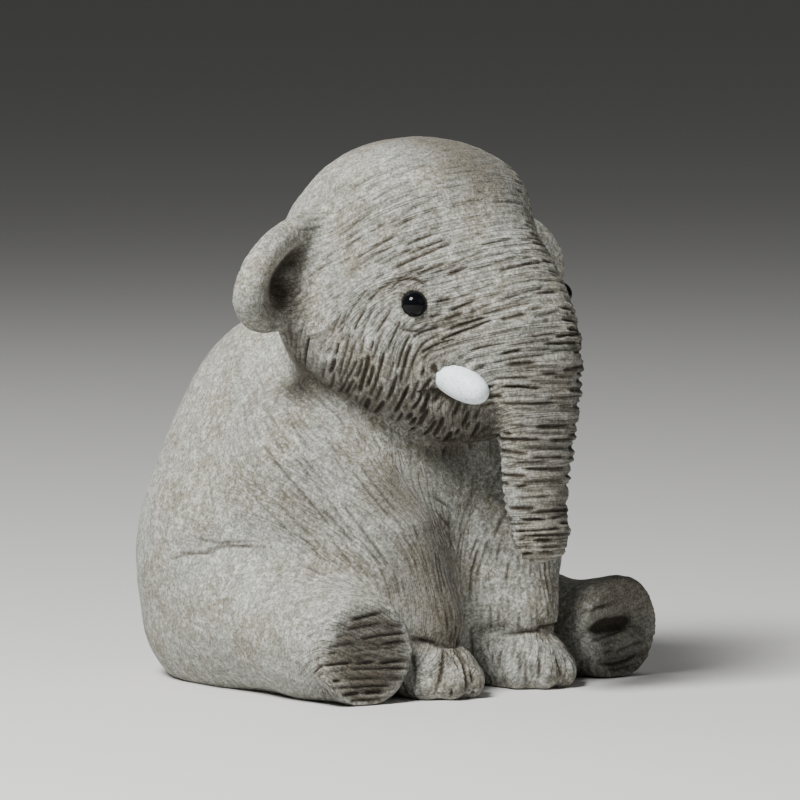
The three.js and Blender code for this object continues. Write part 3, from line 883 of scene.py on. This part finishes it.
# Sizes are of the noise's features; "past" gives a level, a steepness and the most
clayFinish = {
    "roughness": 0.9,
    "warm": (0.298, 0.284, 0.230, 1),
    "cool": (0.344, 0.356, 0.320, 1),
    "coolSize": 6 * mm,
    "coolPast": (0.4, 5, 1),
    "dust": (0.63, 0.635, 0.595, 1),
    "dustSize": 0.78 * mm,
    "dustPast": (0.4714, 7, 0.6),
    "shade": (0.50, 0.48, 0.45, 1),
    "grainSize": 0.3 * mm,
    "grainPast": (0.4556, 9, 0.9),
    "mottleSize": 1.6 * mm,
    "mottlePast": (0.48, 6, 0.42),
    "fineLine": (0.42, 4.0),        # millimetres across the combing and along it
    "fineSharpness": 16,
    "fineShade": 0.7,
    "broadLine": (1.05, 6.4),
    "broadPast": (0.5, 6, 0.3),
    "broadHeight": 0.6,
    "combedPast": (0.03, 5, 1),
    # Brown of the painted shade and of the near sole's stain
    "stainAndShade": (0.30, 0.26, 0.22, 1),
    "stainAndShadeMottle": 2,
    # Dark brown for the needle grooves, and painted shade in the ears' hollows
    "grooveDarkAndHollowShade": (0.20, 0.165, 0.13, 1),
    "recessDepth": 0.25,            # millimetres deep and darkest
    "bumpStrength": 0.8,
    "bumpHeight": 0.12 * mm,
}


def makeClay():
    look = clayFinish
    clayLook = Finish("combed_clay", Roughness=look["roughness"])
    deep = clayLook.node("Attribute", {"attribute_name": "groove"}, output=2)
    combing = clayLook.node("Attribute", {"attribute_name": "combing"}, output=2)
    stainAndShade = clayLook.node("Attribute", {"attribute_name": "stainAndShade"}, output=2)
    comb = clayLook.node("Attribute", {"attribute_name": "comb"}, output=1)

    def streaks(size, detail):
        across, along = size
        sockets = {0: comb, 1: (1 / across, 1 / along, 0)}
        spread = clayLook.node("VectorMath", {"operation": "MULTIPLY"}, sockets)
        sockets = {"Vector": spread, "Scale": 1, "Detail": detail, "Roughness": 0.5}
        return clayLook.node("TexNoise", None, sockets)

    patches = clayLook.noise(look["coolSize"], 3)
    mottle = clayLook.noise(look["mottleSize"], 4, 0.65)
    grain = clayLook.noise(look["grainSize"], 3, 0.7)
    speck = clayLook.noise(look["dustSize"], 3, 0.65)
    fine = streaks(look["fineLine"], 1)
    broad = streaks(look["broadLine"], 2)
    strength = combing.past(*look["combedPast"])
    scratch = (1 - (fine - 0.5).absolute() * look["fineSharpness"]).clamped() * strength
    stainAndShadeMottled = (stainAndShade * (1 + (speck - 0.5) * look["stainAndShadeMottle"])).clamped()
    base = clayLook.blend(patches.past(*look["coolPast"]), look["warm"], look["cool"])
    base = clayLook.blend(speck.past(*look["dustPast"]), base, look["dust"])
    base = clayLook.multiplied(grain.past(*look["grainPast"]), base, look["shade"])
    base = clayLook.multiplied(mottle.past(*look["mottlePast"]), base, look["shade"])
    base = clayLook.multiplied(broad.past(*look["broadPast"]) * strength, base, look["shade"])
    base = clayLook.multiplied(scratch * look["fineShade"], base, look["shade"])
    # Painted shade, with the near sole's brown stain, darkens the clay
    base = clayLook.multiplied(stainAndShadeMottled, base, look["stainAndShade"])
    # Darkens the needle grooves and paints shade into the ears' hollows
    base = clayLook.multiplied((deep * (1 / look["recessDepth"])).clamped(), base, look["grooveDarkAndHollowShade"])
    height = grain + speck - scratch + broad * strength * look["broadHeight"]
    sockets = {"Strength": look["bumpStrength"], "Distance": look["bumpHeight"], "Height": height}
    clayLook.feed(Base_Color=base, Normal=clayLook.node("Bump", None, sockets))
    return clayLook.material


clay.data.materials.append(makeClay())

beadFinish = {
    "colour": (0.003, 0.003, 0.004, 1),
    "shine": 0.16,
    "roughness": 0.04,
    "smearSize": 0.9 * mm,
    "smearRoughness": 0.06,
}


def makeBead():
    colour, shine = beadFinish["colour"], beadFinish["shine"]
    beadLook = Finish("black_glass", Base_Color=colour, Specular_IOR_Level=shine)
    smear = beadLook.noise(beadFinish["smearSize"], 2)
    beadLook.feed(Roughness=beadFinish["roughness"] + smear * beadFinish["smearRoughness"])
    return beadLook.material


tuskFinish = {
    "roughness": 0.5,
    "white": (0.90, 0.985, 1, 1),
    "grey": (0.42, 0.47, 0.51, 1),
    "dabSize": 0.45 * mm,
    "dabPast": (0.5, 9, 1),
    "patchSize": 3.2 * mm,
    "patchPast": (0.41, 9, 0.6),
    "bumpStrength": 0.6,
    "bumpHeight": 0.06 * mm,
}


def makeTusk():
    look = tuskFinish
    tuskLook = Finish("white_enamel", Roughness=look["roughness"])
    dabs = tuskLook.noise(look["dabSize"], 4, 0.7)
    patch = tuskLook.noise(look["patchSize"], 2)
    worn = dabs.past(*look["dabPast"]) * patch.past(*look["patchPast"])
    colour = tuskLook.blend(worn, look["white"], look["grey"])
    sockets = {"Strength": look["bumpStrength"], "Distance": look["bumpHeight"], "Height": dabs}
    tuskLook.feed(Base_Color=colour, Normal=tuskLook.node("Bump", None, sockets))
    return tuskLook.material


beadMaterial, tuskMaterial = makeBead(), makeTusk()
for bead in beads:
    bead.data.materials.append(beadMaterial)
for tusk in tusks:
    tusk.data.materials.append(tuskMaterial)
print("finishes made")

# Floor and light. Each light: name, azimuth, elevation, distance, size, power
studio = {
    "floorSize": 6,
    "floorColour": (0.66, 0.655, 0.64, 1),
    "floorRoughness": 0.85,
    "world": 0.07,
    "aim": (0, 0, 0.03),
    "lights": [
        ("key", -80, 48, 0.5, 0.18, 5.6),
        ("fill", 20, 25, 0.7, 0.5, 0.3),
        ("rim", 170, 45, 0.6, 0.3, 0.6),
    ],
}


def addStudio():
    bpy.ops.object.select_all(action="DESELECT")
    bpy.ops.mesh.primitive_plane_add(size=studio["floorSize"])
    floor = bpy.context.object
    floor.name = "floor"
    colour, roughness = studio["floorColour"], studio["floorRoughness"]
    floorLook = Finish("floor_paper", Base_Color=colour, Roughness=roughness)
    floor.data.materials.append(floorLook.material)
    world = bpy.data.worlds.new("studio")
    bpy.context.scene.world = world
    world.use_nodes = True
    background = world.node_tree.nodes["Background"]
    background.inputs["Color"].default_value = (1, 1, 1, 1)
    background.inputs["Strength"].default_value = studio["world"]
    for name, azimuth, elevation, distance, size, power in studio["lights"]:
        back = facing(azimuth, elevation)
        bpy.ops.object.light_add(type="AREA", location=Vector(studio["aim"]) + back * distance)
        light = bpy.context.object
        light.name = name
        light.rotation_euler = back.to_track_quat("Z", "Y").to_euler()
        light.data.size = size
        light.data.energy = power


addStudio()
print("floor and lights placed")
